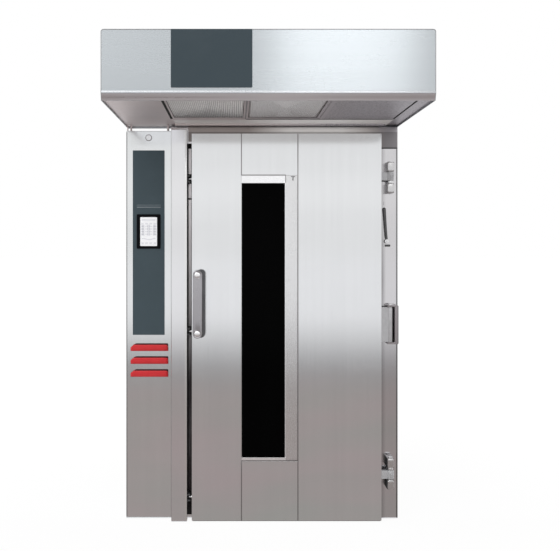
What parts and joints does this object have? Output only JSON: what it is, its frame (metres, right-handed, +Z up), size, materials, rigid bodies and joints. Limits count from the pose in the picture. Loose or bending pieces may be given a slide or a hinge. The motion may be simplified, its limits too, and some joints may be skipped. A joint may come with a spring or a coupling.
{
  "type": "rack oven",
  "caption": "Tall floor-standing oven for one rolling rack: hinged windowed door, control column at its left, extraction hood reaching out above.",
  "frame": {"origin": "centre of the oven's bounding box on the floor", "axes": "+Z up, +X across the front to the hinge side, +Y from the front to the back"},
  "size_m": [1.449, 2.303, 2.453],
  "materials": {
    "outer_steel": "satin",
    "liner_steel": "satin",
    "hood_steel": "satin",
    "dark_steel": "matte",
    "slate": "satin",
    "red": "gloss",
    "screen_black": "gloss",
    "black_glass": "gloss",
    "lamp_glass": "satin",
    "ribbed_cover": "satin",
    "rubber_black": "matte",
    "grip_black": "matte",
    "switch_plastic": "matte",
    "wool": "matte",
    "core": "satin",
    "filter_steel": "satin",
    "polished": "polished",
    "motor_paint": "satin",
    "gear_cast": "satin",
    "cast": "matte",
    "brass_pipe": "satin"
  },
  "bodies": {
    "cabinet": {"base_frame": "dark_steel", "floor_pan": "liner_steel", "left_wall": "liner_steel", "right_liner": "liner_steel", "rear_liner": "liner_steel", "ceiling_liner": "liner_steel", "wall_insulation": "wool", "left_side_panel": "outer_steel", "right_side_panel": "outer_steel", "rear_panel": "outer_steel", "roof_panel": "outer_steel", "door_frame": "outer_steel", "latch_post": "outer_steel", "hinge_post": "outer_steel", "header_panel": "outer_steel", "door_gasket": "rubber_black", "air_panel": "liner_steel", "heater_bank": "dark_steel", "fan_motor": "motor_paint", "steam_generator": "cast", "water_pipe": "brass_pipe", "vapour_stack": "liner_steel", "lift_guide": "dark_steel", "hinge_blocks": "outer_steel", "hinge_pins": "polished", "guard_bracket": "outer_steel", "latch_keepers": "dark_steel", "lever_base": "dark_steel", "hood_shell": "hood_steel", "hood_underside": "outer_steel", "sign_plate": "slate", "hood_fan_housing": "outer_steel", "control_cabinet": "outer_steel", "switchgear": "switch_plastic", "cable_gland": "grip_black"},
    "door": {"door_left_panel": "outer_steel", "door_middle_panels": "outer_steel", "door_right_panel": "outer_steel", "door_core": "core", "window_panes": "black_glass", "window_trim": "polished", "lamp_cover": "ribbed_cover", "door_lamp": "lamp_glass", "door_sweep": "rubber_black", "hinge_arms": "polished"},
    "handle": {"handle_lever": "polished"},
    "latch": {"latch_bar": "polished"},
    "fan": {"fan_wheel": "liner_steel"},
    "damper": {"damper_flap": "liner_steel"},
    "lift": {"lift_gearbox": "gear_cast"},
    "carrier": {"rack_carrier": "liner_steel"},
    "lever": {"hand_lever": "grip_black"},
    "hood_fan": {"hood_fan_wheel": "liner_steel"},
    "first_filter": {"filter_left": "filter_steel"},
    "second_filter": {"filter_middle": "filter_steel"},
    "column_door": {"control_door": "outer_steel", "control_overlay": "slate", "touchscreen": "screen_black", "vent_louvres": "red"},
    "lock": {"cabinet_lock": "polished"}
  },
  "joints": [
    {"name": "door_swing", "type": "hinge", "parent": "cabinet", "child": "door", "pos_m": [0.676, -0.3445, 1], "axis": [0, 0, 1], "range_deg": [0, 110]},
    {"name": "handle_turn", "type": "hinge", "parent": "door", "child": "handle", "pos_m": [-0.3395, -0.3985, 0.9955], "axis": [0, 1, 0], "range_deg": [0, 60]},
    {"name": "latch_slide", "type": "slide", "parent": "door", "child": "latch", "axis": [1, 0, 0], "range_m": [0, 0.016]},
    {"name": "fan_spin", "type": "hinge", "parent": "cabinet", "child": "fan", "pos_m": [0.11975, 0.7015, 1], "axis": [0, 1, 0], "continuous": true},
    {"name": "damper_turn", "type": "hinge", "parent": "cabinet", "child": "damper", "pos_m": [0.45975, 0.4615, 2.25], "axis": [1, 0, 0], "range_deg": [0, 90]},
    {"name": "rack_lift", "type": "slide", "parent": "cabinet", "child": "lift", "axis": [0, 0, 1], "range_m": [0, 0.03]},
    {"name": "carrier_spin", "type": "hinge", "parent": "lift", "child": "carrier", "pos_m": [0.11975, 0.2115, 2], "axis": [0, 0, 1], "continuous": true},
    {"name": "lever_turn", "type": "hinge", "parent": "cabinet", "child": "lever", "pos_m": [0.662, -0.3135, 1.478], "axis": [0, 1, 0], "range_deg": [0, 45]},
    {"name": "hood_fan_spin", "type": "hinge", "parent": "cabinet", "child": "hood_fan", "pos_m": [-0.59, -0.7235, 2.2], "axis": [0, 0, 1], "continuous": true},
    {"name": "first_filter_slide", "type": "slide", "parent": "cabinet", "child": "first_filter", "axis": [0, 1, 0], "range_m": [0, 0.014]},
    {"name": "second_filter_slide", "type": "slide", "parent": "cabinet", "child": "second_filter", "axis": [0, 1, 0], "range_m": [0, 0.014]},
    {"name": "column_door_swing", "type": "hinge", "parent": "cabinet", "child": "column_door", "pos_m": [-0.7205, -0.2945, 1], "axis": [0, 0, -1], "range_deg": [0, 100]},
    {"name": "lock_turn", "type": "hinge", "parent": "column_door", "child": "lock", "pos_m": [-0.60475, -0.2985, 2.031], "axis": [0, -1, 0], "range_deg": [0, 90]}
  ],
  "couplings": [
    {"joint": "latch_slide", "follows": "handle_turn", "m_per_rad": 0.01527}
  ]
}
